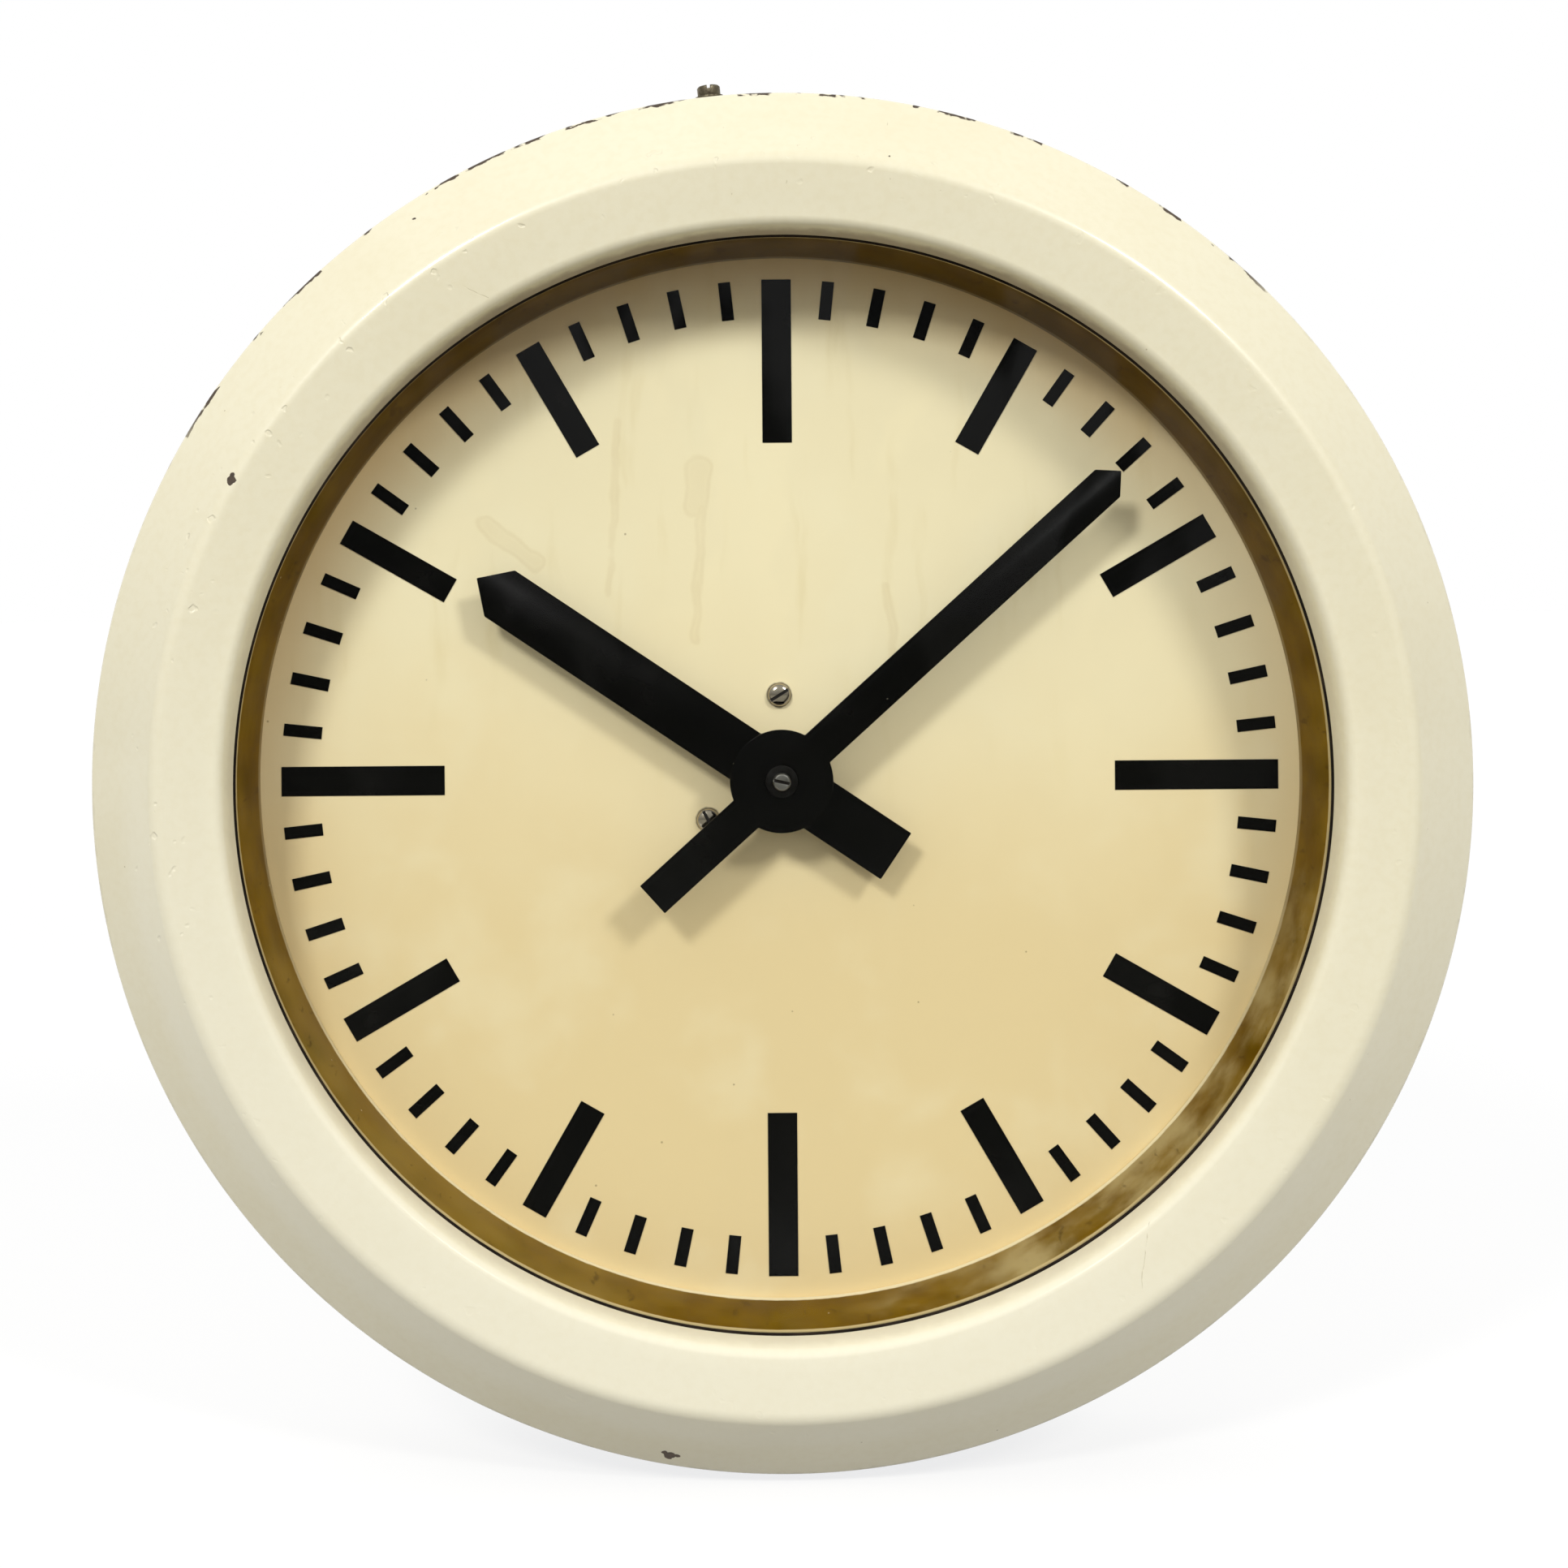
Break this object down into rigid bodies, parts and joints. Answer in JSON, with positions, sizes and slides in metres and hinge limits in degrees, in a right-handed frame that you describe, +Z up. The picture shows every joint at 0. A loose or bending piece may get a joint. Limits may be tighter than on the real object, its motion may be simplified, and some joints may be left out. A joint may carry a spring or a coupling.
{
  "type": "wall clock",
  "caption": "Round wall clock with a pressed metal front ring, flat glass, plain bar dial and two hands driven by an impulse movement behind the dial.",
  "frame": {"origin": "centre of the back face, on the axis of the hands", "axes": "+Y into the wall, so the dial faces -Y; +X to the viewer's right; +Z up"},
  "size_m": [0.42, 0.0862, 0.4236],
  "materials": {
    "cream_paint": "aged gloss paint",
    "clear_glass": "polished",
    "black_rubber": "matte",
    "bronze_band": "aged satin",
    "dial_paint": "aged matte paint",
    "bar_enamel": "satin",
    "hand_black": "satin black enamel",
    "nickel": "worn nickel plate",
    "zinc_steel": "zinc plate",
    "brass": "satin",
    "steel": "polished",
    "iron": "plain",
    "magnet": "ground",
    "bobbin_resin": "moulded",
    "copper_wire": "enamelled",
    "lead_sleeve": "plain",
    "terminal_resin": "moulded"
  },
  "bodies": {
    "case": {"rear_case": "cream_paint", "cable_bush": "black_rubber", "closing_screw": "nickel", "closing_washer": "zinc_steel", "closing_nut": "zinc_steel", "dial": "dial_paint", "quarter_bars": "bar_enamel", "hour_bars": "bar_enamel", "minute_bars": "bar_enamel", "inner_band": "bronze_band", "dial_brackets": "zinc_steel", "dial_edge_screws": "zinc_steel", "dial_posts": "brass", "dial_screws": "nickel", "back_plate": "brass", "front_plate": "brass", "plate_pillars": "brass", "plate_nuts": "zinc_steel", "centre_bush": "brass", "motion_stud": "steel", "motion_clip": "steel", "pole_pieces": "iron", "stator_screws": "zinc_steel", "coil_core": "iron", "coil_bobbin": "bobbin_resin", "coil_winding": "copper_wire", "coil_leads": "lead_sleeve", "terminal_block": "terminal_resin", "terminal_screws": "brass"},
    "cover": {"front_ring": "cream_paint", "glass": "clear_glass", "glass_gasket": "black_rubber", "glass_frame": "zinc_steel", "glass_clips": "zinc_steel", "clip_screws": "zinc_steel"},
    "minute": {"minute_arbor": "steel", "centre_wheel": "brass", "cannon_pinion": "steel", "cannon_pipe": "steel", "minute_collet": "brass", "minute_hand": "hand_black", "hand_washer": "hand_black", "hand_screw": "nickel"},
    "hour": {"hour_wheel": "brass", "hour_pipe": "brass", "hour_collet": "brass", "hour_hand": "hand_black"},
    "motion": {"motion_wheel": "brass", "motion_pinion": "steel"},
    "intermediate": {"intermediate_arbor": "steel", "intermediate_wheel": "brass", "intermediate_pinion": "steel"},
    "rotor": {"rotor_arbor": "steel", "rotor_pinion": "steel", "rotor_magnet": "magnet"}
  },
  "joints": [
    {"name": "minute_spin", "type": "hinge", "parent": "case", "child": "minute", "pos_m": [0, 0, 0], "axis": [0, 1, 0], "continuous": true},
    {"name": "hour_spin", "type": "hinge", "parent": "case", "child": "hour", "pos_m": [0, 0, 0], "axis": [0, 1, 0], "continuous": true},
    {"name": "motion_spin", "type": "hinge", "parent": "case", "child": "motion", "pos_m": [0, 0, -0.015], "axis": [0, 1, 0], "continuous": true},
    {"name": "intermediate_spin", "type": "hinge", "parent": "case", "child": "intermediate", "pos_m": [-0.01485, 0, -0.01485], "axis": [0, 1, 0], "continuous": true},
    {"name": "rotor_spin", "type": "hinge", "parent": "case", "child": "rotor", "pos_m": [0, 0, -0.02502], "axis": [0, 1, 0], "continuous": true},
    {"name": "cover_slide", "type": "slide", "parent": "case", "child": "cover", "axis": [0, -1, 0], "range_m": [0, 0.1]}
  ],
  "couplings": [
    {"joint": "hour_spin", "follows": "minute_spin", "ratio": 0.083333},
    {"joint": "motion_spin", "follows": "minute_spin", "ratio": -0.33333},
    {"joint": "intermediate_spin", "follows": "minute_spin", "ratio": -6},
    {"joint": "rotor_spin", "follows": "minute_spin", "ratio": 30}
  ]
}
